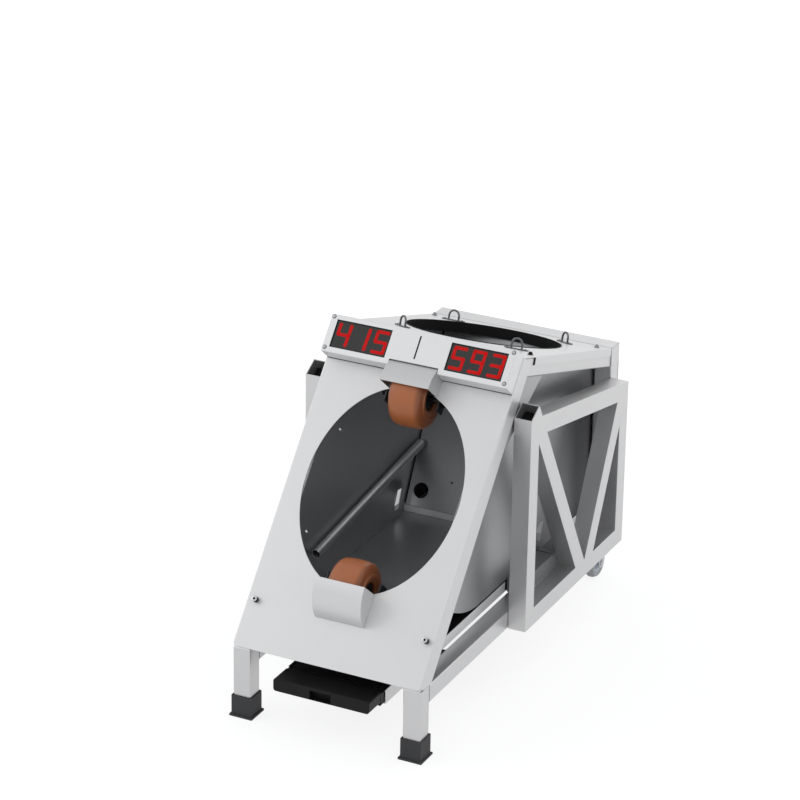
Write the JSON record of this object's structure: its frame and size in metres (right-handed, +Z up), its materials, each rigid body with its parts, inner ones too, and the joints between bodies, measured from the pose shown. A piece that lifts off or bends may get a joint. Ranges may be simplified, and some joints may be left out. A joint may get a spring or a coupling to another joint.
{
  "type": "basketball shooting machine",
  "caption": "Wheeled frame that catches a ball through a hole in its sloping lid and throws it back through two driven wheels in a leaning front plate.",
  "frame": {"origin": "on the floor, under the middle of the machine's outline", "axes": "+X to the right and +Y to the rear for someone who faces the front plate, +Z up; the ball leaves towards -Y and up"},
  "size_m": [0.3914, 0.7634, 0.5564],
  "materials": {
    "silver_paint": "satin powder coat",
    "panel_paint": "satin powder coat",
    "channel_paint": "satin powder coat",
    "black_rubber": "matte",
    "black_plastic": "fine texture",
    "zinc_steel": "zinc plated",
    "dark_steel": "black oxide",
    "orange_polyurethane": "cast polyurethane, satin",
    "display_window": "dark window",
    "grey_rubber": "satin"
  },
  "bodies": {
    "frame": {"leg_left": "silver_paint", "leg_right": "silver_paint", "base_rail_left": "silver_paint", "base_rail_right": "silver_paint", "rear_frame": "silver_paint", "front_post_left": "silver_paint", "front_post_right": "silver_paint", "top_tube_left": "silver_paint", "top_tube_right": "silver_paint", "front_lower_cross_tube": "silver_paint", "front_upper_cross_tube": "silver_paint", "truss_left": "silver_paint", "truss_right": "silver_paint", "deck_plate": "silver_paint", "battery_tray": "silver_paint", "front_plate": "panel_paint", "top_plate": "panel_paint", "rear_cover": "panel_paint", "display_housing": "panel_paint", "upper_hood": "panel_paint", "lower_hood": "panel_paint", "channel_wall_left": "channel_paint", "channel_wall_right": "channel_paint", "channel_floor": "channel_paint", "back_wall": "channel_paint", "foot_left": "black_rubber", "foot_right": "black_rubber", "feeder_housing": "black_plastic", "control_box": "black_plastic", "channel_mount_left": "black_plastic", "channel_mount_right": "black_plastic", "ball_collar": "black_plastic", "guide_pipe_left": "zinc_steel", "guide_pipe_right": "zinc_steel", "lower_axle": "zinc_steel", "upper_axle": "zinc_steel", "net_eye_front_left": "zinc_steel", "net_eye_front_right": "zinc_steel", "net_eye_rear_left": "zinc_steel", "net_eye_rear_right": "zinc_steel", "caster_left_plate": "zinc_steel", "caster_right_plate": "zinc_steel", "lower_bracket": "dark_steel", "upper_bracket": "dark_steel", "counter_left": "display_window", "counter_right": "display_window"},
    "lower_wheel": {"lower_tyre": "orange_polyurethane", "lower_hub_motor": "dark_steel"},
    "upper_wheel": {"upper_tyre": "orange_polyurethane", "upper_hub_motor": "dark_steel"},
    "feeder": {"feeder_arm": "zinc_steel"},
    "battery": {"battery_cap": "black_plastic", "battery_body": "black_plastic"},
    "caster_left_swivel": {"caster_left_fork": "zinc_steel"},
    "caster_right_swivel": {"caster_right_fork": "zinc_steel"},
    "caster_left_roller": {"caster_left_wheel": "grey_rubber"},
    "caster_right_roller": {"caster_right_wheel": "grey_rubber"},
    "caster_left_pedal": {"caster_left_brake": "zinc_steel"},
    "caster_right_pedal": {"caster_right_brake": "zinc_steel"}
  },
  "joints": [
    {"name": "lower_wheel_spin", "type": "hinge", "parent": "frame", "child": "lower_wheel", "pos_m": [0, -0.27719, 0.21168], "axis": [1, 0, 0], "continuous": true},
    {"name": "upper_wheel_spin", "type": "hinge", "parent": "frame", "child": "upper_wheel", "pos_m": [0, -0.07348, 0.45846], "axis": [1, 0, 0], "continuous": true},
    {"name": "feeder_swing", "type": "hinge", "parent": "frame", "child": "feeder", "pos_m": [0, 0.02475, 0.132], "axis": [1, 0, 0], "range_deg": [0, 125]},
    {"name": "battery_slide", "type": "slide", "parent": "frame", "child": "battery", "axis": [0, -1, 0], "range_m": [0, 0.18]},
    {"name": "caster_left_turn", "type": "hinge", "parent": "frame", "child": "caster_left_swivel", "pos_m": [-0.1335, 0.31675, 0.07], "axis": [0, 0, 1], "continuous": true},
    {"name": "caster_left_roll", "type": "hinge", "parent": "caster_left_swivel", "child": "caster_left_roller", "pos_m": [-0.1335, 0.34575, 0.027], "axis": [1, 0, 0], "continuous": true},
    {"name": "caster_left_press", "type": "hinge", "parent": "caster_left_swivel", "child": "caster_left_pedal", "pos_m": [-0.1335, 0.35975, 0.056], "axis": [-1, 0, 0], "range_deg": [0, 12]},
    {"name": "caster_right_turn", "type": "hinge", "parent": "frame", "child": "caster_right_swivel", "pos_m": [0.1335, 0.31675, 0.07], "axis": [0, 0, 1], "continuous": true},
    {"name": "caster_right_roll", "type": "hinge", "parent": "caster_right_swivel", "child": "caster_right_roller", "pos_m": [0.1335, 0.34575, 0.027], "axis": [1, 0, 0], "continuous": true},
    {"name": "caster_right_press", "type": "hinge", "parent": "caster_right_swivel", "child": "caster_right_pedal", "pos_m": [0.1335, 0.35975, 0.056], "axis": [-1, 0, 0], "range_deg": [0, 12]}
  ]
}
